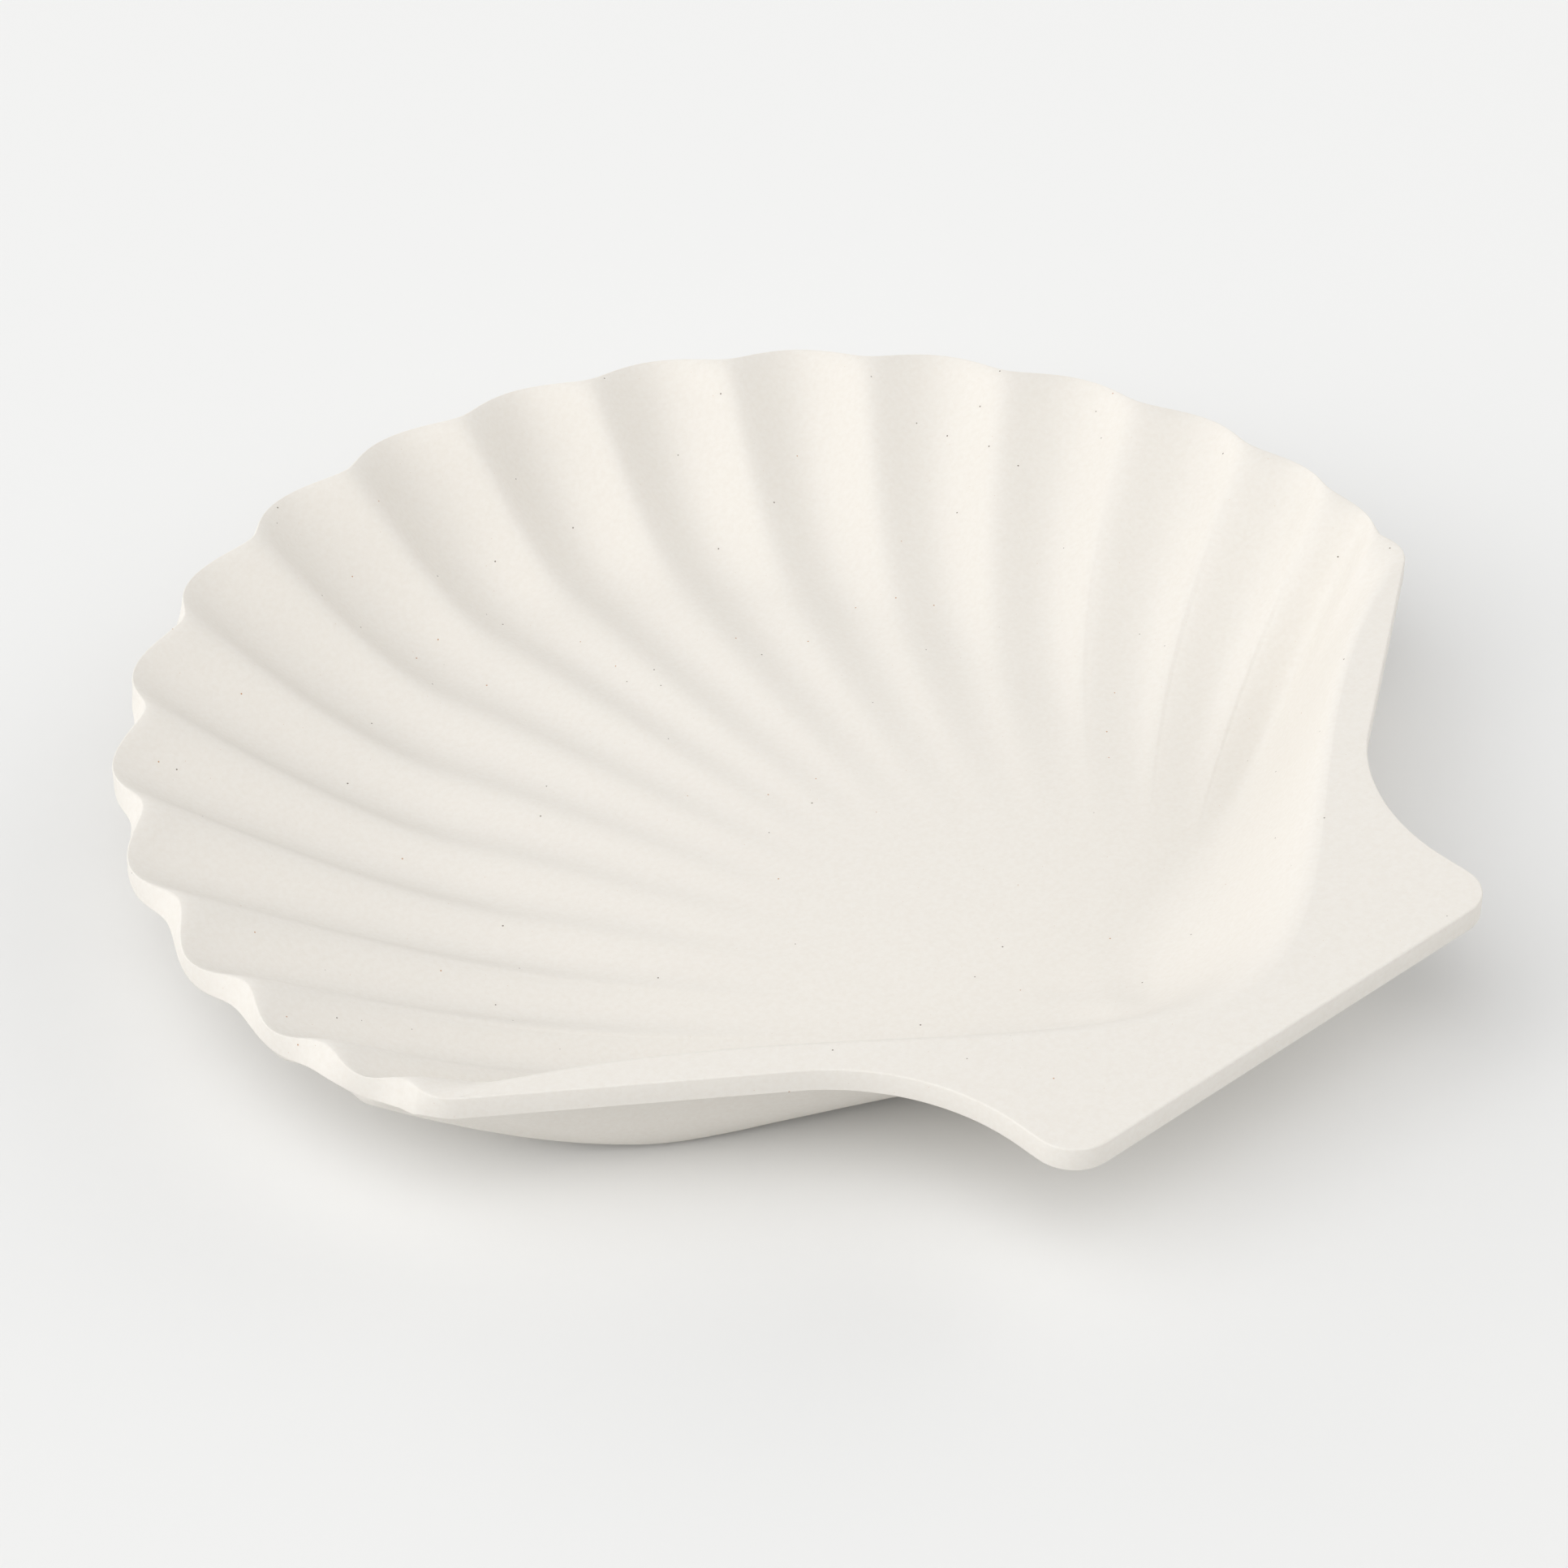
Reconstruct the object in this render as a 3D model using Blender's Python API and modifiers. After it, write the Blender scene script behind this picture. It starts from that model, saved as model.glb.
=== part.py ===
# Shell shaped serving platter: a shallow fluted dish with a scalloped rim, and a flat straight-edged
# hinge with two rounded ears. +Z is up, +Y runs from the hinge to the middle flute, and the origin is on
# the standing surface under the middle of the outline. Sizes are in metres, angles in degrees.
import functools
import math

import bmesh
import bpy

# Overall sizes
LENGTH = 0.2970
BOWL_DEPTH = 0.0310
WALL = 0.0056

# Scalloped rim: an arc through the crests, how far a full flute bulges beyond and dips below it, and how
# far the crests' ends flare out below their upper edge
RIM_RADIUS = 0.1504
LOBE_DEPTH = 0.0060
FLUTES_PER_SIDE = 8.5
FLUTE_PITCH = 13.3
EVEN_FLUTES = 5.5
PITCH_LOSS = 1.1
LOBE_DIP = 0.0020
DIP_REACH = 0.0180
FLUTE_FALL = 1.1
CREST_TUCK = 0.0022
CREST_ROUND = 0.32
CREST_FLARE = 0.0030
FLARE_REACH = 0.0060

# Flutes inside the bowl: depth below the crests, where they fade, how their crests round off inwards,
# where they point on the axis, and how far they bow towards it on the way
FLUTE_DEPTH = 0.0090
FLUTE_RISE = 0.0520
FLUTE_REACH = 0.80
REACH_LOSS = 0.16
CREST_MELT = 4.0
FAN_FRONT = -0.064
FAN_BACK = -0.109
FLUTE_BOW = 0.11
BOW_FALL = 0.75
BOW_REACH = 0.85

# Walls of the bowl: how far each takes to reach the floor, and how softly it leaves its edge
RUN_MIDDLE = 0.047
RUN_FLANK = 0.050
RUN_SHALLOW = 0.082
SHALLOW_PLACE = 1.45
SHALLOW_BREADTH = 1.15
RUN_WAIST = 0.0140
RUN_UMBO = 0.0460
UMBO_WIDTH = 0.0560
CREST_SOFTNESS = 0.0034
FOLD_SOFTNESS = 0.0046

# Hinge and ears
EAR_HALF_WIDTH = 0.0635
EAR_RADIUS = 0.0095
SHOULDER_X = 0.1446
SHOULDER_RADIUS = 0.0090
WAIST_RADIUS = 0.0500
WAIST_ANGLE = 35.1
WAIST_RISE = 0.0415
UMBO_INSET = 0.0135
FOLD_SLOPE = 1.94
FOLD_ROUND = 0.1036

# Rounding of the rim's two edges
EDGE_RADIUS = 0.0008
EDGE_STEPS = 2

# How finely the surface is laid out
STEPS_PER_FLUTE = 8
CREST_GATHER = 0.45
FLANK_STEPS = 6
ROWS = 17
ROW_GATHER = 1.6
WAIST_STEPS = 6
EAR_STEPS = 6
SLOPE_STEP = 0.0005

CLAY_COLOUR = (0.80, 0.77, 0.71, 1.0)
CLAY_ROUGHNESS = 0.62

RIM_Z = BOWL_DEPTH + WALL
HINGE_Y = -LENGTH / 2
RIM_CENTRE_Y = LENGTH / 2 - RIM_RADIUS - LOBE_DEPTH
WAIST_Y = HINGE_Y + WAIST_RISE
WAIST_TAN = math.tan(math.radians(WAIST_ANGLE))
UMBO_Y = HINGE_Y + UMBO_INSET
FLUTE_COLUMNS = round(FLUTES_PER_SIDE * STEPS_PER_FLUTE)
COLUMNS = FLUTE_COLUMNS + FLANK_STEPS


def clear_scene():
    for thing in list(bpy.data.objects):
        bpy.data.objects.remove(thing, do_unlink=True)


def flute_angle(flute):
    """Angle about the rim's centre. Whole numbers are flute middles and halves are crests."""
    crowded = max(0.0, flute - EVEN_FLUTES)
    return FLUTE_PITCH * flute - PITCH_LOSS * crowded ** 2


def hollow(flute, crest_round=CREST_ROUND):
    """0 on a crest and 1 in the middle of a flute, with a rounded crest."""
    wave = math.cos(math.pi * flute)
    rounded = math.hypot(wave, crest_round) - crest_round
    return rounded / (math.hypot(1.0, crest_round) - crest_round)


def fullness(flute):
    """Share of a full flute's bulge, dip and depth that this one has: less in the narrower flutes."""
    middle = min(round(flute), FLUTES_PER_SIDE - 0.5)
    width = flute_angle(middle + 0.5) - flute_angle(middle - 0.5)
    return (width / FLUTE_PITCH) ** FLUTE_FALL


def lobe(flute):
    """How far the rim bulges beyond the crest arc."""
    return LOBE_DEPTH * fullness(flute) * hollow(flute)


def arc_point(flute, bulge):
    """Plan position on the crest arc, which is drawn in at the last crest, or beyond it by a bulge."""
    tuck = CREST_TUCK * max(0.0, flute - FLUTES_PER_SIDE + 1.0) ** 2
    radius = RIM_RADIUS - tuck + bulge
    angle = math.radians(flute_angle(flute))
    return radius * math.sin(angle), RIM_CENTRE_Y + radius * math.cos(angle)


def rim_point(flute):
    return arc_point(flute, lobe(flute))


@functools.cache
def shoulder_arc():
    """Points of the rounded shoulder, from the last crest's side round to the waist."""
    shoulder = (SHOULDER_X, WAIST_Y + WAIST_TAN * (SHOULDER_X - EAR_HALF_WIDTH))
    waist = (EAR_HALF_WIDTH, WAIST_Y)
    return rounded_corner(rim_point(FLUTES_PER_SIDE), shoulder, waist, SHOULDER_RADIUS, FLANK_STEPS - 1)


def fold_rise(x):
    """The fold's rise from its round end behind the umbo, before it bows over to the shoulder."""
    return math.hypot(FOLD_SLOPE * x, FOLD_ROUND) - FOLD_ROUND


def fold_y(x):
    """Where the flat hinge folds down into the bowl, in the plan."""
    end_x, end_y = shoulder_arc()[-1]
    bow = (UMBO_Y + fold_rise(end_x) - end_y) / end_x ** 2
    return UMBO_Y + fold_rise(x) - bow * x * x


def ramp(distance, run, softness):
    """A wall's share of the depth: level where it leaves its edge, and level where it meets the floor."""
    soft = math.hypot(max(distance, 0.0), softness) - softness
    return math.sin(math.pi / 2 * min(soft / run, 1.0))


def rim_run(flute):
    """How far the wall below the rim takes to reach the floor: longest between the middle and the sides."""
    steep = RUN_MIDDLE + (RUN_FLANK - RUN_MIDDLE) * flute / FLUTES_PER_SIDE
    shallow = math.sin(math.pi * (flute / FLUTES_PER_SIDE) ** SHALLOW_PLACE)
    return steep + (RUN_SHALLOW - steep) * max(0.0, shallow) ** SHALLOW_BREADTH


def wall_share(x, y, edge_radius, run, softness):
    """Share of the bowl's depth at a plan point, from the rim's wall and the wall along the fold."""
    rim_share = ramp(edge_radius - math.hypot(x, y - RIM_CENTRE_Y), run, softness)
    lean = (fold_y(x + SLOPE_STEP) - fold_y(x - SLOPE_STEP)) / (2 * SLOPE_STEP)
    fold_run = RUN_WAIST + (RUN_UMBO - RUN_WAIST) * math.exp(-(x / UMBO_WIDTH) ** 2)
    return rim_share * ramp((y - fold_y(x)) / math.hypot(1.0, lean), fold_run, FOLD_SOFTNESS)


def column(index):
    """Rim point and flute coordinate of one column, and how far it has left the flutes for the fold."""
    even = min(index, FLUTE_COLUMNS) / STEPS_PER_FLUTE
    flute = even + CREST_GATHER * math.sin(2 * math.pi * even) / (2 * math.pi)
    flank = max(0, index - FLUTE_COLUMNS)
    start = shoulder_arc()[flank - 1] if flank else rim_point(flute)
    return start, flute, flank / FLANK_STEPS


def flute_line(flute, share):
    """Plan position along a flute, which runs from the rim to the axis and bows towards it."""
    bow = FLUTE_BOW * flute ** BOW_FALL * math.sin(math.pi * min(share / BOW_REACH, 1.0))
    bowed = flute - bow
    rim_x, rim_y = arc_point(bowed, lobe(flute))
    end = FAN_FRONT + (FAN_BACK - FAN_FRONT) * bowed / FLUTES_PER_SIDE
    return rim_x * (1.0 - share), end + (rim_y - end) * (1.0 - share)


def plan_point(index, row):
    """Plan position of one point of the layout, and its share of the way from the rim to the axis."""
    start, flute, flank = column(index)
    share = (row / ROWS) ** ROW_GATHER
    x, y = flute_line(flute, share)
    if not flank:
        return x, y, share
    fold_x = start[0] * (1.0 - share)
    miss = start[1] - rim_point(flute)[1] * (1.0 - flank) - fold_y(start[0]) * flank
    x += (fold_x - x) * flank
    y += (fold_y(x) - y) * flank
    start_x = rim_point(flute)[0] + (start[0] - rim_point(flute)[0]) * flank
    return x + (start[0] - start_x) * (1.0 - share) ** 3, y + miss * (1.0 - share) ** 3, share


def flute_wave(flute, share, inside, wall):
    """Height of the flutes' wave: its dip at the rim, and its depth inside, which fades to the floor."""
    reach = FLUTE_REACH - REACH_LOSS * (flute / FLUTES_PER_SIDE) ** 2
    fade = max(0.0, 1.0 - share / reach) ** 2
    depth = FLUTE_DEPTH * fade * (1.0 - math.exp(-inside / FLUTE_RISE))
    dip = LOBE_DIP * math.exp(-inside / DIP_REACH)
    section = hollow(flute, CREST_ROUND + CREST_MELT * share)
    return fullness(flute) * (depth * (wall - section) - dip * hollow(flute))


def shell_point(index, row):
    """One point of the layout, and the point of the underside that lies below it."""
    start, flute, flank = column(index)
    x, y, share = plan_point(index, row)
    crest = (1.0 - hollow(flute)) * (1.0 - flank) ** 4
    near_rim = (1.0 - share) ** 2
    edge_radius = math.hypot(start[0], start[1] - RIM_CENTRE_Y) - lobe(flute) * (1.0 - near_rim)
    depth_here = functools.partial(
        wall_share, edge_radius=edge_radius, run=rim_run(flute), softness=CREST_SOFTNESS * crest * near_rim)
    wall = depth_here(x, y)
    along_x = depth_here(x + SLOPE_STEP, y) - wall
    along_y = depth_here(x, y + SLOPE_STEP) - wall
    steepness = BOWL_DEPTH * math.hypot(along_x, along_y) / SLOPE_STEP
    inside = math.hypot(x - start[0], y - start[1])
    wave = flute_wave(flute, share, inside, wall)
    bowl = RIM_Z - BOWL_DEPTH * wall
    lower = bowl + (1.0 - wall) * wave - WALL * math.hypot(1.0, steepness)
    flare = 1.0 + CREST_FLARE * crest * math.exp(-inside / FLARE_REACH) / RIM_RADIUS
    return (x, y, bowl + wave), (x * flare, RIM_CENTRE_Y + (y - RIM_CENTRE_Y) * flare, lower)


def rounded_corner(before, corner, after, radius, steps):
    """Points of the arc that rounds a corner of the outline."""
    into = [a - b for a, b in zip(before, corner)]
    out = [a - b for a, b in zip(after, corner)]
    into = [value / math.hypot(*into) for value in into]
    out = [value / math.hypot(*out) for value in out]
    half = math.acos(sum(a * b for a, b in zip(into, out))) / 2
    middle = [a + b for a, b in zip(into, out)]
    reach = radius / math.sin(half) / math.hypot(*middle)
    centre = [c + m * reach for c, m in zip(corner, middle)]
    first = [c + i * radius / math.tan(half) - o for c, i, o in zip(corner, into, centre)]
    turn = math.pi - 2 * half
    if into[0] * out[1] - into[1] * out[0] > 0:
        turn = -turn
    points = []
    for step in range(steps + 1):
        angle = turn * step / steps
        cosine, sine = math.cos(angle), math.sin(angle)
        points.append((centre[0] + first[0] * cosine - first[1] * sine,
                       centre[1] + first[0] * sine + first[1] * cosine))
    return points


def hinge_outline():
    """The outline from the shoulder along the waist and round the ear to the middle of the hinge."""
    waist = (EAR_HALF_WIDTH, WAIST_Y)
    ear = (EAR_HALF_WIDTH, HINGE_Y)
    middle = (0.0, HINGE_Y)
    points = rounded_corner(shoulder_arc()[-1], waist, ear, WAIST_RADIUS, WAIST_STEPS)
    return points + rounded_corner(waist, ear, middle, EAR_RADIUS, EAR_STEPS) + [middle]


def lay_out_bowl(mesh, below):
    """The upper face of half the bowl, as a grid whose columns follow the flutes."""
    made = bmesh.ops.create_grid(mesh, x_segments=COLUMNS, y_segments=ROWS, size=1.0)
    fold = [None] * (ROWS + 1)
    for vert in made["verts"]:
        index = round((vert.co.x + 1.0) / 2 * COLUMNS)
        row = round((1.0 - vert.co.y) / 2 * ROWS)
        vert.co, vert[below] = shell_point(index, row)
        if index == COLUMNS:
            fold[row] = vert
    return fold


def lay_out_hinge(mesh, below, fold):
    """The flat hinge and ear, filled in between the fold and the outline."""
    border = [fold[0]]
    for x, y in hinge_outline():
        vert = mesh.verts.new((x, y, RIM_Z))
        vert[below] = (x, y, RIM_Z - WALL)
        border.append(vert)
    border.append(fold[-1])
    edges = [mesh.edges.new(pair) for pair in zip(border, border[1:])]
    edges += [mesh.edges.get(pair) for pair in zip(fold, fold[1:])]
    bmesh.ops.contextual_create(mesh, geom=edges)


def give_thickness(mesh, below):
    """Extrudes the upper face down to the underside, with edge faces along the rim."""
    made = bmesh.ops.extrude_face_region(mesh, geom=mesh.faces[:], use_keep_orig=True)
    under = {item for item in made["geom"] if isinstance(item, bmesh.types.BMVert)}
    for vert in under:
        vert.co = vert[below]
    weight = mesh.edges.layers.float.new("bevel_weight_edge")
    inner = []
    for face in mesh.faces:
        if len(under.intersection(face.verts)) in (0, len(face.verts)):
            continue
        if all(vert.co.x < SLOPE_STEP / 100 for vert in face.verts):
            inner.append(face)
            continue
        for edge in face.edges:
            if len(under.intersection(edge.verts)) != 1:
                edge[weight] = 1.0
    bmesh.ops.delete(mesh, geom=inner, context="FACES")
    bmesh.ops.recalc_face_normals(mesh, faces=mesh.faces[:])


def clay():
    material = bpy.data.materials.new("matte warm white stoneware")
    material.use_nodes = True
    shader = material.node_tree.nodes["Principled BSDF"]
    shader.inputs["Base Color"].default_value = CLAY_COLOUR
    shader.inputs["Roughness"].default_value = CLAY_ROUGHNESS
    shader.inputs["Metallic"].default_value = 0.0
    return material


def platter(collection):
    half = bmesh.new()
    below = half.verts.layers.float_vector.new("underside")
    fold = lay_out_bowl(half, below)
    lay_out_hinge(half, below, fold)
    give_thickness(half, below)
    mesh = bpy.data.meshes.new("platter")
    half.to_mesh(mesh)
    half.free()
    mesh.materials.append(clay())
    body = bpy.data.objects.new("platter", mesh)
    collection.objects.link(body)
    mirror = body.modifiers.new("both halves", "MIRROR")
    mirror.use_axis = (True, False, False)
    mirror.merge_threshold = 0.00001
    bevel = body.modifiers.new("rim edges", "BEVEL")
    bevel.limit_method = "WEIGHT"
    bevel.width = EDGE_RADIUS
    bevel.segments = EDGE_STEPS
    mesh.shade_smooth()
    return body


def main():
    clear_scene()
    collection = bpy.data.collections.new("shell platter")
    bpy.context.scene.collection.children.link(collection)
    platter(collection)


main()
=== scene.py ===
"""Looks for the shell shaped platter: a fine shell in matte speckled stoneware, and its studio stage."""
import functools
import math

import bmesh
import bpy
from mathutils import Matrix, Vector


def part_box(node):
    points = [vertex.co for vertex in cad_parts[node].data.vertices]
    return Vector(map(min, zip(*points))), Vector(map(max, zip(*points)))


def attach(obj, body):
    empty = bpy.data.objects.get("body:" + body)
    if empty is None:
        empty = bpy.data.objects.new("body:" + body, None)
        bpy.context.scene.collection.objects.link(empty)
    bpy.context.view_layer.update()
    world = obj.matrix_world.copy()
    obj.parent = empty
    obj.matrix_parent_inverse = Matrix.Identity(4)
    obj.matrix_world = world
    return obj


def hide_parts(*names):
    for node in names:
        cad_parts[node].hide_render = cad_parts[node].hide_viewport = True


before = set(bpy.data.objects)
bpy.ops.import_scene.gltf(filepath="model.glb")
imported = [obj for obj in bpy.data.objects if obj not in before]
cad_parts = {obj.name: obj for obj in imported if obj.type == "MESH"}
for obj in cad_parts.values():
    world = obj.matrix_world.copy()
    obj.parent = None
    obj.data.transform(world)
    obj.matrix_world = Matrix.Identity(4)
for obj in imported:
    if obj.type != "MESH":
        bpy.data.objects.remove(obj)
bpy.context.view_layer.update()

bl_info = {
    "name": "Shell Platter",
    "version": (1, 0, 0),
    "blender": (4, 5, 0),
    "location": "3D View > Sidebar > Platter",
    "description": "Builds a fluted shell platter in matte speckled stoneware on a pale studio floor",
    "category": "Object",
}

# Scalloped rim, in metres and degrees: an arc through the crests, how far a full flute bulges beyond and
# dips below it, how much of its bulge the last flute loses, how the flutes narrow towards the shoulders,
# how round the crests are, and how far their ends flare out below their upper edge
LENGTH = 0.2970
RIM_RADIUS = 0.1504
LOBE_DEPTH = 0.0060
LAST_LOBE_LOSS = 0.7
LOBE_LOSS_POWER = 8
LOBE_DIP = 0.0020
DIP_REACH = 0.0180
FLUTES_PER_SIDE = 8.5
FLUTE_PITCH = 13.3
EVEN_FLUTES = 5.5
PITCH_LOSS = 1.1
FLUTE_FALL = 1.1
CREST_TUCK = 0.0022
CREST_ROUND = 0.32
LAST_CREST_ROUND = 1.2
CREST_ROUND_POWER = 3
CREST_FLARE = 0.0030
FLARE_REACH = 0.0060

# Flutes inside the bowl: where they deepen and fade, how their crests round off inwards, where they point
# on the axis, and how far they bow towards it on the way
FLUTE_RISE = 0.0520
FLUTE_REACH = 0.80
REACH_LOSS = 0.16
CREST_MELT = 5.0
FAN_FRONT = -0.064
FAN_BACK = -0.109
FLUTE_BOW = 0.11
BOW_FALL = 0.75
BOW_REACH = 0.85

# Walls of the bowl: how far each takes to reach the floor, and how softly it leaves its edge
RUN_MIDDLE = 0.047
RUN_FLANK = 0.050
RUN_SHALLOW = 0.082
SHALLOW_PLACE = 1.45
SHALLOW_BREADTH = 1.15
RUN_WAIST = 0.0140
RUN_UMBO = 0.0460
UMBO_WIDTH = 0.0560
CREST_SOFTNESS = 0.0034
FOLD_SOFTNESS = 0.0046

# Hinge and ears
EAR_HALF_WIDTH = 0.0635
EAR_RADIUS = 0.0095
SHOULDER_X = 0.1446
SHOULDER_RADIUS = 0.0090
WAIST_RADIUS = 0.0500
WAIST_ANGLE = 35.1
WAIST_RISE = 0.0415
UMBO_INSET = 0.0135
FOLD_SLOPE = 1.94
FOLD_ROUND = 0.1036

HINGE_Y = -LENGTH / 2
RIM_CENTRE_Y = LENGTH / 2 - RIM_RADIUS - LOBE_DEPTH
WAIST_Y = HINGE_Y + WAIST_RISE
WAIST_TAN = math.tan(math.radians(WAIST_ANGLE))
UMBO_Y = HINGE_Y + UMBO_INSET

# Distance over which a slope is measured
SLOPE_STEP = 0.0005

# How the layout gathers its columns at the crests and its rows at the rim, how fast its last columns turn
# from the flutes to the fold, and the steps round the waist, round the ear and across a rounded edge
CREST_GATHER = 0.45
ROW_GATHER = 1.2
CREST_FADE = 4
START_FADE = 3
WAIST_STEPS = 20
EAR_STEPS = 14
EDGE_STEPS = 4

# A face whose normal is this close to upright is level, and keeps an even shade
LEVEL_FACE = 0.99999

# A point this near the axis lies on the seam between the halves, a side face whose points are all nearer
# than the second distance is the cut that the other half closes, and points nearer than the third are one
SEAM_REACH = 0.00001
CUT_REACH = 0.000005
JOIN_REACH = 0.000001

# Glaze: the noise at which it lies thick and thin, the solid middle of a speck as a share of its radius,
# the grit's size and spacing as a share of the specks' and how strongly it shows, the chance above which
# a speck is rusty, its roughness where it is thick and thin, and its grain
GLAZE_IOR = 1.5
GLAZE_THICK = 0.35
GLAZE_THIN = 0.70
SPECK_MIDDLE = 0.6
GRIT_SHARE = 0.5
GRIT_STRENGTH = 0.45
RUSTY_CHANCE = 0.62
SMOOTHEST = 0.58
ROUGHEST = 0.70
GRAIN_STRENGTH = 0.06
GRAIN_HEIGHT = 0.0001

# A noise of scale 1 has patches about half a metre wide
NOISE_PATCH = 0.5

# Studio: soft boxes on the dome round the table, each as its height above the horizon, its turn from
# straight behind the platter towards the left, and its strength. A higher focus draws each box in
SOFT_BOXES = (
    (58.0, 90.0, 0.22),
    (58.0, 180.0, 0.43),
    (28.0, 120.0, 0.41),
    (28.0, 240.0, 0.25),
    (28.0, 300.0, 0.25),
    (10.0, 30.0, 0.40),
    (10.0, 90.0, 0.22),
    (10.0, 330.0, 0.18),
)
BOX_FOCUS = 13.0
FLOOR_ROUGHNESS = 0.9

# Camera: its turn, tilt and distance from the point in the rim's plane that it aims at, and its lens
CAMERA_TURN = -42.195
CAMERA_TILT = 37.212
CAMERA_AIM = (-0.023169, -0.0199)
CAMERA_DISTANCE = 1.0
CAMERA_LENS = 106.2
SENSOR_WIDTH = 36.0
CAMERA_REACH = 20.0


class PlatterShape(bpy.types.PropertyGroup):
    """Sizes of the shell."""

    rim_height: bpy.props.FloatProperty(
        name="Rim height", description="Height of the rim above the table",
        default=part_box("platter")[1].z, unit="LENGTH")
    wall: bpy.props.FloatProperty(
        name="Wall", description="Thickness of the stoneware", default=0.0056, unit="LENGTH")
    flute_depth: bpy.props.FloatProperty(
        name="Flute depth", description="Depth that a flute would reach if it did not fade",
        default=0.0090, unit="LENGTH")
    edge_radius: bpy.props.FloatProperty(
        name="Edge radius", description="Rounding of the rim's two edges, as far as they leave room for it",
        default=0.0011, unit="LENGTH")
    steps_per_flute: bpy.props.IntProperty(
        name="Steps per flute", description="Faces across one flute", default=24, min=4)
    rows: bpy.props.IntProperty(
        name="Rows", description="Faces from the rim to the axis", default=54, min=8)


class PlatterFinish(bpy.types.PropertyGroup):
    """Colours and grain of the stoneware."""

    clay: bpy.props.StringProperty(
        name="Clay", description="Colour of the glazed clay, as sRGB hex", default="E8E4DD")
    mottle: bpy.props.StringProperty(
        name="Mottle", description="Colour where the glaze lies thinner, as sRGB hex", default="E5E0D8")
    iron: bpy.props.StringProperty(
        name="Iron specks", description="Colour of the dark iron specks, as sRGB hex", default="5E4C3E")
    rust: bpy.props.StringProperty(
        name="Rust specks", description="Colour of the lighter rusty specks, as sRGB hex", default="B98A5E")
    mottle_size: bpy.props.FloatProperty(
        name="Mottle size", description="Width of one patch of the fine mottling",
        default=0.0006, unit="LENGTH")
    grain_size: bpy.props.FloatProperty(
        name="Grain size", description="Width of one grain of the surface", default=0.0006, unit="LENGTH")
    speck_spacing: bpy.props.FloatProperty(
        name="Speck spacing", description="Distance between specks in the clay",
        default=0.0066, unit="LENGTH")
    speck_radius: bpy.props.FloatProperty(
        name="Speck radius", description="Radius of the largest specks", default=0.00024, unit="LENGTH")


class StudioSettings(bpy.types.PropertyGroup):
    """Floor and light."""

    floor: bpy.props.StringProperty(
        name="Floor", description="Colour of the floor, as sRGB hex", default="EAEAE9")
    floor_size: bpy.props.FloatProperty(
        name="Floor size", description="Half the width of the floor", default=8.0, unit="LENGTH")
    light: bpy.props.FloatProperty(
        name="Light", description="Strength of all the soft boxes together", default=0.985, min=0.0)
    fill: bpy.props.FloatProperty(
        name="Fill", description="Strength of the even light between the soft boxes", default=0.02, min=0.0)


# Shape of the shell

def flute_angle(flute):
    """Angle about the rim's centre. Whole numbers are flute middles and halves are crests."""
    crowded = max(0.0, flute - EVEN_FLUTES)
    return FLUTE_PITCH * flute - PITCH_LOSS * crowded ** 2


def hollow(flute, melt=0.0):
    """0 on a crest and 1 in the middle of a flute. The crest is rounded, more so in the last flutes, and
    melt rounds it further."""
    rounder = (flute / FLUTES_PER_SIDE) ** CREST_ROUND_POWER
    crest_round = CREST_ROUND + melt + (LAST_CREST_ROUND - CREST_ROUND) * rounder
    wave = math.cos(math.pi * flute)
    rounded = math.hypot(wave, crest_round) - crest_round
    return rounded / (math.hypot(1.0, crest_round) - crest_round)


def fullness(flute):
    """Share of a full flute's bulge, dip and depth that this one has: less in the narrower flutes."""
    middle = min(round(flute), FLUTES_PER_SIDE - 0.5)
    width = flute_angle(middle + 0.5) - flute_angle(middle - 0.5)
    return (width / FLUTE_PITCH) ** FLUTE_FALL


def lobe(flute):
    """How far the rim bulges beyond the crest arc, which is least at the shoulders."""
    kept = 1.0 - LAST_LOBE_LOSS * (flute / FLUTES_PER_SIDE) ** LOBE_LOSS_POWER
    return LOBE_DEPTH * kept * fullness(flute) * hollow(flute)


def arc_point(flute, bulge):
    """Plan position on the crest arc, which is drawn in at the last crest, or beyond it by a bulge."""
    tuck = CREST_TUCK * max(0.0, flute - FLUTES_PER_SIDE + 1.0) ** 2
    radius = RIM_RADIUS - tuck + bulge
    angle = math.radians(flute_angle(flute))
    return radius * math.sin(angle), RIM_CENTRE_Y + radius * math.cos(angle)


def rim_point(flute):
    """Plan position on the rim's upper edge."""
    return arc_point(flute, lobe(flute))


def flute_line(flute, share):
    """Plan position along a flute, which runs from the rim to the axis and bows towards it."""
    bow = FLUTE_BOW * flute ** BOW_FALL * math.sin(math.pi * min(share / BOW_REACH, 1.0))
    bowed = flute - bow
    rim_x, rim_y = arc_point(bowed, lobe(flute))
    end = FAN_FRONT + (FAN_BACK - FAN_FRONT) * bowed / FLUTES_PER_SIDE
    return rim_x * (1.0 - share), end + (rim_y - end) * (1.0 - share)


def rim_run(flute):
    """How far the wall below the rim takes to reach the floor: longest between middle and sides."""
    steep = RUN_MIDDLE + (RUN_FLANK - RUN_MIDDLE) * flute / FLUTES_PER_SIDE
    shallow = math.sin(math.pi * (flute / FLUTES_PER_SIDE) ** SHALLOW_PLACE)
    return steep + (RUN_SHALLOW - steep) * max(0.0, shallow) ** SHALLOW_BREADTH


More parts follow.
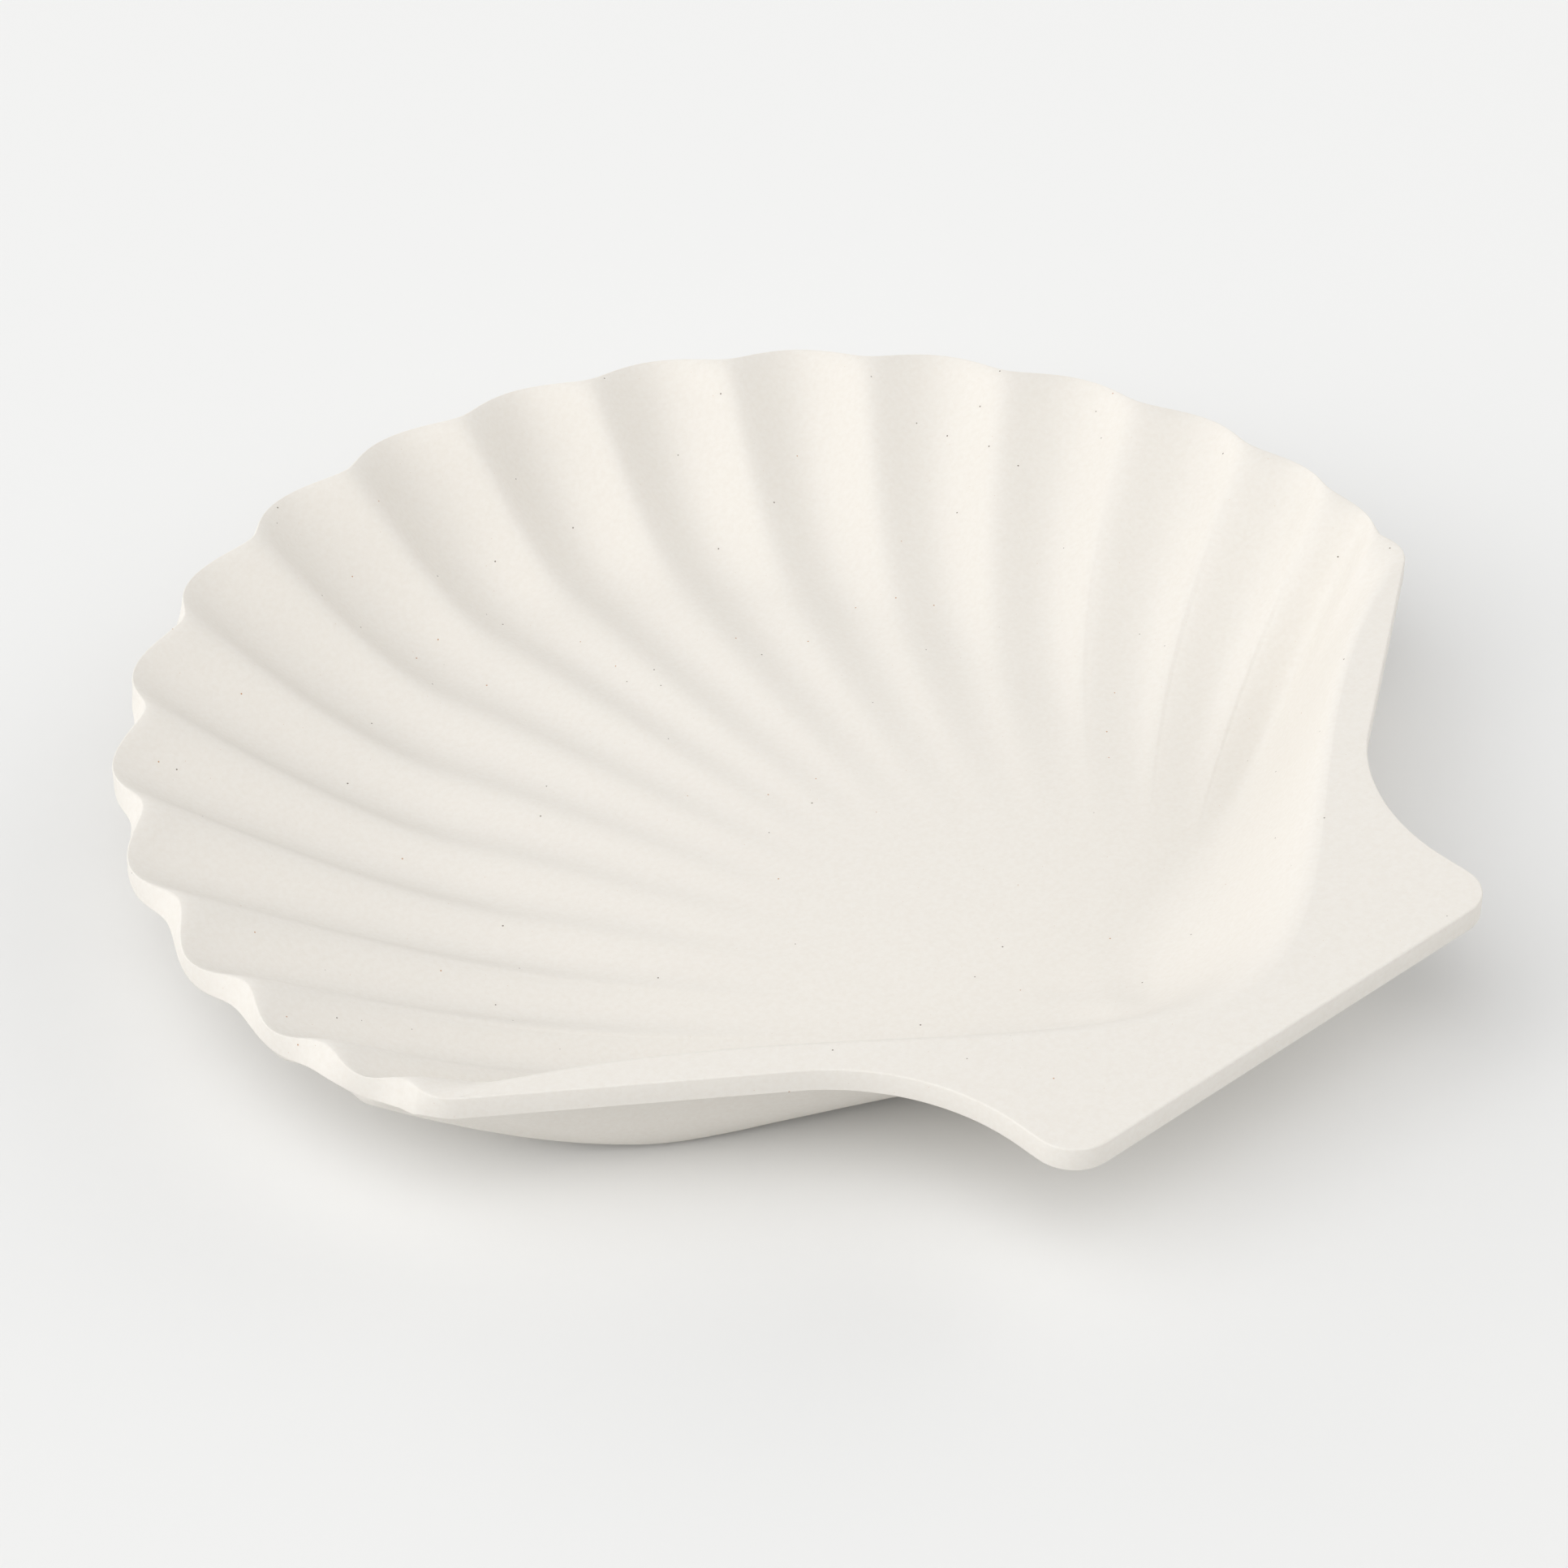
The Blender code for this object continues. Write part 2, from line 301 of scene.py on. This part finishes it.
def rounded_corner(before, corner, after, radius, steps):
    """Points of the arc that rounds a corner of the outline."""
    into = [a - b for a, b in zip(before, corner)]
    out = [a - b for a, b in zip(after, corner)]
    into = [value / math.hypot(*into) for value in into]
    out = [value / math.hypot(*out) for value in out]
    half = math.acos(sum(a * b for a, b in zip(into, out))) / 2
    middle = [a + b for a, b in zip(into, out)]
    reach = radius / math.sin(half) / math.hypot(*middle)
    centre = [c + m * reach for c, m in zip(corner, middle)]
    first = [c + i * radius / math.tan(half) - o for c, i, o in zip(corner, into, centre)]
    turn = math.pi - 2 * half
    if into[0] * out[1] - into[1] * out[0] > 0:
        turn = -turn
    points = []
    for step in range(steps + 1):
        angle = turn * step / steps
        cosine, sine = math.cos(angle), math.sin(angle)
        points.append((centre[0] + first[0] * cosine - first[1] * sine,
                       centre[1] + first[0] * sine + first[1] * cosine))
    return points


@functools.cache
def shoulder_arc(steps):
    """Points of the rounded shoulder, from the last crest's side round to the waist."""
    shoulder = (SHOULDER_X, WAIST_Y + WAIST_TAN * (SHOULDER_X - EAR_HALF_WIDTH))
    waist = (EAR_HALF_WIDTH, WAIST_Y)
    return rounded_corner(rim_point(FLUTES_PER_SIDE), shoulder, waist, SHOULDER_RADIUS, steps)


def fold_rise(x):
    """The fold's rise from its round end behind the umbo, before it bows over to the shoulder."""
    return math.hypot(FOLD_SLOPE * x, FOLD_ROUND) - FOLD_ROUND


@functools.cache
def fold_bow():
    """How hard the fold bows, so that it meets the end of the shoulder."""
    end_x, end_y = shoulder_arc(1)[-1]
    return (UMBO_Y + fold_rise(end_x) - end_y) / end_x ** 2


def fold_y(x):
    """Where the flat hinge folds down into the bowl, in the plan."""
    return UMBO_Y + fold_rise(x) - fold_bow() * x * x


def ramp(distance, run, softness):
    """A wall's share of the depth: level where it leaves its edge, and level where it meets the floor."""
    soft = math.hypot(max(distance, 0.0), softness) - softness
    return math.sin(math.pi / 2 * min(soft / run, 1.0))


def wall_share(x, y, edge_radius, run, softness):
    """Share of the bowl's depth at a plan point, from the rim's wall and the wall along the fold."""
    rim_share = ramp(edge_radius - math.hypot(x, y - RIM_CENTRE_Y), run, softness)
    lean = (fold_y(x + SLOPE_STEP) - fold_y(x - SLOPE_STEP)) / (2 * SLOPE_STEP)
    fold_run = RUN_WAIST + (RUN_UMBO - RUN_WAIST) * math.exp(-(x / UMBO_WIDTH) ** 2)
    return rim_share * ramp((y - fold_y(x)) / math.hypot(1.0, lean), fold_run, FOLD_SOFTNESS)


class ShellLayout:
    """Lays the shell's points out in columns that follow the flutes and rows that follow the rim."""

    def __init__(self, shape):
        self.depth = shape.rim_height - shape.wall
        self.wall = shape.wall
        self.rim_z = shape.rim_height
        self.flute_depth = shape.flute_depth
        self.steps = shape.steps_per_flute
        self.rows = shape.rows
        self.flute_columns = round(FLUTES_PER_SIDE * self.steps)
        self.flank_steps = self.steps // 2
        self.columns = self.flute_columns + self.flank_steps

    def column(self, index):
        """Rim point and flute coordinate of one column, and how far it has left the flutes for the fold."""
        even = min(index, self.flute_columns) / self.steps
        flute = even + CREST_GATHER * math.sin(2 * math.pi * even) / (2 * math.pi)
        flank = max(0, index - self.flute_columns)
        start = shoulder_arc(self.flank_steps - 1)[flank - 1] if flank else rim_point(flute)
        return start, flute, flank / self.flank_steps

    def plan_point(self, index, row):
        """Plan position of one point, and its share of the way from the rim to the axis."""
        start, flute, flank = self.column(index)
        share = (row / self.rows) ** ROW_GATHER
        x, y = flute_line(flute, share)
        if not flank:
            return x, y, share
        rim_x, rim_y = rim_point(flute)
        fold_x = start[0] * (1.0 - share)
        miss_x = start[0] - (rim_x + (start[0] - rim_x) * flank)
        miss_y = start[1] - rim_y * (1.0 - flank) - fold_y(start[0]) * flank
        x += (fold_x - x) * flank
        y += (fold_y(x) - y) * flank
        fade = (1.0 - share) ** START_FADE
        return x + miss_x * fade, y + miss_y * fade, share

    def flute_wave(self, flute, share, inside, wall):
        """Height of the flutes' wave: its dip at the rim, and its depth inside, which fades to the floor."""
        reach = FLUTE_REACH - REACH_LOSS * (flute / FLUTES_PER_SIDE) ** 2
        fade = max(0.0, 1.0 - share / reach) ** 2
        depth = self.flute_depth * fade * (1.0 - math.exp(-inside / FLUTE_RISE))
        dip = LOBE_DIP * math.exp(-inside / DIP_REACH)
        section = hollow(flute, CREST_MELT * share)
        return fullness(flute) * (depth * (wall - section) - dip * hollow(flute))

    def point(self, index, row):
        """One point of the upper face, and the point of the underside that lies below it."""
        start, flute, flank = self.column(index)
        x, y, share = self.plan_point(index, row)
        crest = (1.0 - hollow(flute)) * (1.0 - flank) ** CREST_FADE
        near_rim = (1.0 - share) ** 2
        edge_radius = math.hypot(start[0], start[1] - RIM_CENTRE_Y) - lobe(flute) * (1.0 - near_rim)
        softness = CREST_SOFTNESS * crest * near_rim
        share_here = functools.partial(
            wall_share, edge_radius=edge_radius, run=rim_run(flute), softness=softness)
        wall = share_here(x, y)
        along_x = share_here(x + SLOPE_STEP, y) - wall
        along_y = share_here(x, y + SLOPE_STEP) - wall
        steepness = self.depth * math.hypot(along_x, along_y) / SLOPE_STEP
        inside = math.hypot(x - start[0], y - start[1])
        wave = self.flute_wave(flute, share, inside, wall)
        bowl = self.rim_z - self.depth * wall
        lower = bowl + (1.0 - wall) * wave - self.wall * math.hypot(1.0, steepness)
        flare = 1.0 + CREST_FLARE * crest * math.exp(-inside / FLARE_REACH) / RIM_RADIUS
        return (x, y, bowl + wave), (x * flare, RIM_CENTRE_Y + (y - RIM_CENTRE_Y) * flare, lower)


def hinge_outline(flank_steps):
    """The outline from the shoulder along the waist and round the ear to the middle of the hinge."""
    waist = (EAR_HALF_WIDTH, WAIST_Y)
    ear = (EAR_HALF_WIDTH, HINGE_Y)
    middle = (0.0, HINGE_Y)
    points = rounded_corner(shoulder_arc(flank_steps - 1)[-1], waist, ear, WAIST_RADIUS, WAIST_STEPS)
    return points + rounded_corner(waist, ear, middle, EAR_RADIUS, EAR_STEPS) + [middle]


def lay_out_bowl(mesh, layout, below):
    """The upper face of half the bowl, as a grid whose columns follow the flutes."""
    made = bmesh.ops.create_grid(mesh, x_segments=layout.columns, y_segments=layout.rows, size=1.0)
    fold = [None] * (layout.rows + 1)
    for vert in made["verts"]:
        index = round((vert.co.x + 1.0) / 2 * layout.columns)
        row = round((1.0 - vert.co.y) / 2 * layout.rows)
        vert.co, vert[below] = layout.point(index, row)
        if index == layout.columns:
            fold[row] = vert
    return fold


def lay_out_hinge(mesh, layout, below, fold):
    """The flat hinge and ear, as one face between the fold and the outline."""
    border = [fold[0]]
    for x, y in hinge_outline(layout.flank_steps):
        vert = mesh.verts.new((x, y, layout.rim_z))
        vert[below] = (x, y, layout.rim_z - layout.wall)
        border.append(vert)
    border.append(fold[-1])
    edges = [mesh.edges.new(pair) for pair in zip(border, border[1:])]
    edges += [mesh.edges.get(pair) for pair in zip(fold, fold[1:])]
    bmesh.ops.contextual_create(mesh, geom=edges)


def give_thickness(mesh, below):
    """Extrudes the upper face down to the underside, and gives the rim's two edges for rounding."""
    made = bmesh.ops.extrude_face_region(mesh, geom=mesh.faces[:], use_keep_orig=True)
    under = {item for item in made["geom"] if isinstance(item, bmesh.types.BMVert)}
    for vert in under:
        vert.co = vert[below]
    inner = []
    # A dict keeps the edges in the order they are found, which a set would change from run to run
    rim = {}
    for face in mesh.faces:
        if len(under.intersection(face.verts)) in (0, len(face.verts)):
            continue
        if all(vert.co.x < CUT_REACH for vert in face.verts):
            inner.append(face)
            continue
        for edge in face.edges:
            if len(under.intersection(edge.verts)) != 1:
                rim[edge] = True
    bmesh.ops.delete(mesh, geom=inner, context="FACES")
    return [edge for edge in rim if edge.is_valid]


def whole_shell(mesh):
    """Mirrors the half across the axis, joins the halves and shades all but the level faces smooth."""
    for vert in mesh.verts:
        if abs(vert.co.x) < SEAM_REACH:
            vert.co.x = 0.0
    half = mesh.verts[:] + mesh.edges[:] + mesh.faces[:]
    bmesh.ops.mirror(mesh, geom=half, axis="X", merge_dist=JOIN_REACH)
    bmesh.ops.remove_doubles(mesh, verts=mesh.verts[:], dist=JOIN_REACH)
    bmesh.ops.recalc_face_normals(mesh, faces=mesh.faces[:])
    for face in mesh.faces:
        face.smooth = abs(face.normal.z) < LEVEL_FACE


# Finish

def linear(code):
    """Linear colour of an sRGB hex code, with full alpha."""
    values = [int(code[place:place + 2], 16) / 255 for place in (0, 2, 4)]
    return [v / 12.92 if v <= 0.04045 else ((v + 0.055) / 1.055) ** 2.4 for v in values] + [1.0]


def add_node(tree, kind, settings=None, inputs=None, links=None):
    """Adds a node, sets its options and sockets, and links other nodes' outputs to its inputs."""
    node = tree.nodes.new(kind)
    for name, value in (settings or {}).items():
        setattr(node, name, value)
    for name, value in (inputs or {}).items():
        node.inputs[name].default_value = value
    for name, output in (links or {}).items():
        tree.links.new(output, node.inputs[name])
    return node


def specks(tree, place, spacing, radius):
    """Small round specks scattered through the clay: their mask, and a random value for each."""
    cells = add_node(tree, "ShaderNodeTexVoronoi", inputs={"Scale": 1.0 / spacing, "Randomness": 1.0},
                     links={"Vector": place})
    mask = add_node(tree, "ShaderNodeMapRange", settings={"interpolation_type": "SMOOTHSTEP"},
                    inputs={"From Min": SPECK_MIDDLE * radius / spacing, "From Max": radius / spacing,
                            "To Min": 1.0, "To Max": 0.0},
                    links={"Value": cells.outputs["Distance"]})
    return mask.outputs["Result"], cells.outputs["Color"]


def blend_colours(tree, factor, first, second):
    """Mixes two colours, each a hex code or another node's output."""
    mix = add_node(tree, "ShaderNodeMix", settings={"data_type": "RGBA"}, links={"Factor": factor})
    for socket, colour in ((mix.inputs[6], first), (mix.inputs[7], second)):
        if isinstance(colour, str):
            socket.default_value = linear(colour)
        else:
            tree.links.new(colour, socket)
    return mix.outputs[2]


def speckled_stoneware(finish):
    """Stoneware, cast and glazed matte: warm off-white with a fine mottling where the glaze is thinner,
    sparse dark iron and rusty specks, and a soft grain that breaks up the sheen."""
    material = bpy.data.materials.new("matte speckled stoneware glaze")
    material.use_nodes = True
    tree = material.node_tree
    shader = tree.nodes["Principled BSDF"]
    shader.inputs["IOR"].default_value = GLAZE_IOR
    shader.inputs["Metallic"].default_value = 0.0
    place = add_node(tree, "ShaderNodeTexCoord").outputs["Object"]
    mottle = add_node(tree, "ShaderNodeTexNoise",
                      inputs={"Scale": NOISE_PATCH / finish.mottle_size, "Detail": 3.0, "Roughness": 0.6},
                      links={"Vector": place})
    patch = add_node(tree, "ShaderNodeMapRange", inputs={"From Min": GLAZE_THICK, "From Max": GLAZE_THIN},
                     links={"Value": mottle.outputs["Fac"]})
    tone = blend_colours(tree, patch.outputs["Result"], finish.clay, finish.mottle)
    # Fine rusty grit lies closer together than the dark specks, and is smaller
    grit_mask, _ = specks(tree, place, GRIT_SHARE * finish.speck_spacing, GRIT_SHARE * finish.speck_radius)
    faint = add_node(tree, "ShaderNodeMath", settings={"operation": "MULTIPLY"},
                     inputs={1: GRIT_STRENGTH}, links={0: grit_mask})
    tone = blend_colours(tree, faint.outputs["Value"], tone, finish.rust)
    speck_mask, chance = specks(tree, place, finish.speck_spacing, finish.speck_radius)
    split = add_node(tree, "ShaderNodeSeparateColor", links={"Color": chance})
    rusty = add_node(tree, "ShaderNodeMath", settings={"operation": "GREATER_THAN"},
                     inputs={1: RUSTY_CHANCE}, links={0: split.outputs["Red"]})
    speck_colour = blend_colours(tree, rusty.outputs["Value"], finish.iron, finish.rust)
    tone = blend_colours(tree, speck_mask, tone, speck_colour)
    tree.links.new(tone, shader.inputs["Base Color"])
    sheen = add_node(tree, "ShaderNodeMapRange", inputs={"To Min": SMOOTHEST, "To Max": ROUGHEST},
                     links={"Value": mottle.outputs["Fac"]})
    tree.links.new(sheen.outputs["Result"], shader.inputs["Roughness"])
    grain = add_node(tree, "ShaderNodeTexNoise",
                     inputs={"Scale": NOISE_PATCH / finish.grain_size, "Detail": 2.0},
                     links={"Vector": place})
    bump = add_node(tree, "ShaderNodeBump", inputs={"Strength": GRAIN_STRENGTH, "Distance": GRAIN_HEIGHT},
                    links={"Height": grain.outputs["Fac"]})
    tree.links.new(bump.outputs["Normal"], shader.inputs["Normal"])
    return material


def plain_material(name, code, roughness):
    """An even, matte colour for the stage."""
    material = bpy.data.materials.new(name)
    material.use_nodes = True
    shader = material.node_tree.nodes["Principled BSDF"]
    shader.inputs["Base Color"].default_value = linear(code)
    shader.inputs["Roughness"].default_value = roughness
    return material


# Operators

class PLATTER_OT_shell(bpy.types.Operator):
    """Build the fine stoneware shell over the solid platter"""

    bl_idname = "platter.shell"
    bl_label = "Stoneware Shell"

    def execute(self, context):
        shape = context.scene.platter_shape
        layout = ShellLayout(shape)
        mesh = bmesh.new()
        below = mesh.verts.layers.float_vector.new("underside")
        fold = lay_out_bowl(mesh, layout, below)
        lay_out_hinge(mesh, layout, below, fold)
        rim = give_thickness(mesh, below)
        bmesh.ops.bevel(mesh, geom=rim, offset=shape.edge_radius, offset_type="OFFSET", segments=EDGE_STEPS,
                        profile=0.5, affect="EDGES", clamp_overlap=True, material=-1)
        # The hinge stays one face until its edge is rounded, because thin triangles would limit that
        bmesh.ops.triangulate(mesh, faces=[face for face in mesh.faces if len(face.verts) > 4])
        whole_shell(mesh)
        data = bpy.data.meshes.new("stoneware_shell")
        mesh.to_mesh(data)
        mesh.free()
        data.materials.append(speckled_stoneware(context.scene.platter_finish))
        shell = bpy.data.objects.new("stoneware_shell", data)
        context.scene.collection.objects.link(shell)
        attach(shell, "root")
        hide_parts("platter")
        return {"FINISHED"}


class PLATTER_OT_stage(bpy.types.Operator):
    """Lay the pale floor, hang the soft boxes and set up the camera"""

    bl_idname = "platter.stage"
    bl_label = "Studio Stage"

    def execute(self, context):
        settings = context.scene.platter_studio
        scene = context.scene
        self.lay_floor(scene, settings)
        self.hang_lights(scene, settings)
        self.place_camera(scene)
        scene.view_settings.view_transform = "Standard"
        return {"FINISHED"}

    def lay_floor(self, scene, settings):
        """A pale floor that runs on far past the view."""
        mesh = bmesh.new()
        bmesh.ops.create_grid(mesh, x_segments=1, y_segments=1, size=settings.floor_size)
        data = bpy.data.meshes.new("studio_floor")
        mesh.to_mesh(data)
        mesh.free()
        data.materials.append(plain_material("matte pale studio floor", settings.floor, FLOOR_ROUGHNESS))
        floor = bpy.data.objects.new("studio_floor", data)
        scene.collection.objects.link(floor)

    def hang_lights(self, scene, settings):
        """A dome of soft boxes: each is a lobe of light that falls off round its own direction."""
        world = bpy.data.worlds.new("studio dome")
        scene.world = world
        world.use_nodes = True
        tree = world.node_tree
        sky = add_node(tree, "ShaderNodeTexCoord").outputs["Generated"]
        total = None
        for height, turn, strength in SOFT_BOXES:
            aim = self.box_direction(math.radians(height), math.radians(turn))
            facing = add_node(tree, "ShaderNodeVectorMath", settings={"operation": "DOT_PRODUCT"},
                              inputs={1: aim}, links={0: sky})
            front = add_node(tree, "ShaderNodeMath", settings={"operation": "MAXIMUM"},
                             inputs={1: 0.0}, links={0: facing.outputs["Value"]})
            lobe_shape = add_node(tree, "ShaderNodeMath", settings={"operation": "POWER"},
                                  inputs={1: BOX_FOCUS}, links={0: front.outputs["Value"]})
            # A tighter lobe is brighter, so that its light as a whole stays the same
            gain = settings.light * strength * (BOX_FOCUS + 1.0) / 2
            light = add_node(tree, "ShaderNodeMath", settings={"operation": "MULTIPLY_ADD"},
                             inputs={1: gain, 2: settings.fill / len(SOFT_BOXES)},
                             links={0: lobe_shape.outputs["Value"]})
            if total is not None:
                light = add_node(tree, "ShaderNodeMath", settings={"operation": "ADD"},
                                 links={0: total, 1: light.outputs["Value"]})
            total = light.outputs["Value"]
        background = tree.nodes["Background"]
        background.inputs["Color"].default_value = (1.0, 1.0, 1.0, 1.0)
        tree.links.new(total, background.inputs["Strength"])

    def box_direction(self, height, turn):
        """Direction of a soft box, turned from straight behind the platter as the camera sees it."""
        heading = math.radians(CAMERA_TURN) + math.pi / 2 + turn
        level = math.cos(height)
        return Vector((math.cos(heading) * level, math.sin(heading) * level, math.sin(height)))

    def place_camera(self, scene):
        """A long lens that looks down at the platter from the photograph's side."""
        turn, tilt = math.radians(CAMERA_TURN), math.radians(CAMERA_TILT)
        aim = Vector((*CAMERA_AIM, scene.platter_shape.rim_height))
        back = Vector((math.sin(turn) * math.cos(tilt), -math.cos(turn) * math.cos(tilt), math.sin(tilt)))
        right = Vector((math.cos(turn), math.sin(turn), 0.0))
        data = bpy.data.cameras.new("camera")
        data.sensor_width = SENSOR_WIDTH
        data.lens = CAMERA_LENS
        data.clip_end = CAMERA_REACH
        camera = bpy.data.objects.new("camera", data)
        scene.collection.objects.link(camera)
        place = Matrix((right, back.cross(right), back)).transposed().to_4x4()
        place.translation = aim + back * CAMERA_DISTANCE
        camera.matrix_world = place
        scene.camera = camera


class PLATTER_PT_panel(bpy.types.Panel):
    """Lists the platter's sizes, its finish and its stage"""

    bl_idname = "PLATTER_PT_panel"
    bl_label = "Shell Platter"
    bl_space_type = "VIEW_3D"
    bl_region_type = "UI"
    bl_category = "Platter"

    def draw(self, context):
        for group, operator in (("platter_shape", "platter.shell"), ("platter_finish", None),
                                ("platter_studio", "platter.stage")):
            box = self.layout.box()
            settings = getattr(context.scene, group)
            for name in settings.bl_rna.properties.keys():
                if name not in ("rna_type", "name"):
                    box.prop(settings, name)
            if operator:
                box.operator(operator)


CLASSES = (PlatterShape, PlatterFinish, StudioSettings, PLATTER_OT_shell, PLATTER_OT_stage, PLATTER_PT_panel)


def register():
    for item in CLASSES:
        bpy.utils.register_class(item)
    bpy.types.Scene.platter_shape = bpy.props.PointerProperty(type=PlatterShape)
    bpy.types.Scene.platter_finish = bpy.props.PointerProperty(type=PlatterFinish)
    bpy.types.Scene.platter_studio = bpy.props.PointerProperty(type=StudioSettings)


def unregister():
    del bpy.types.Scene.platter_studio
    del bpy.types.Scene.platter_finish
    del bpy.types.Scene.platter_shape
    for item in reversed(CLASSES):
        bpy.utils.unregister_class(item)


def main():
    register()
    bpy.ops.platter.shell()
    bpy.ops.platter.stage()


if __name__ == "__main__":
    main()
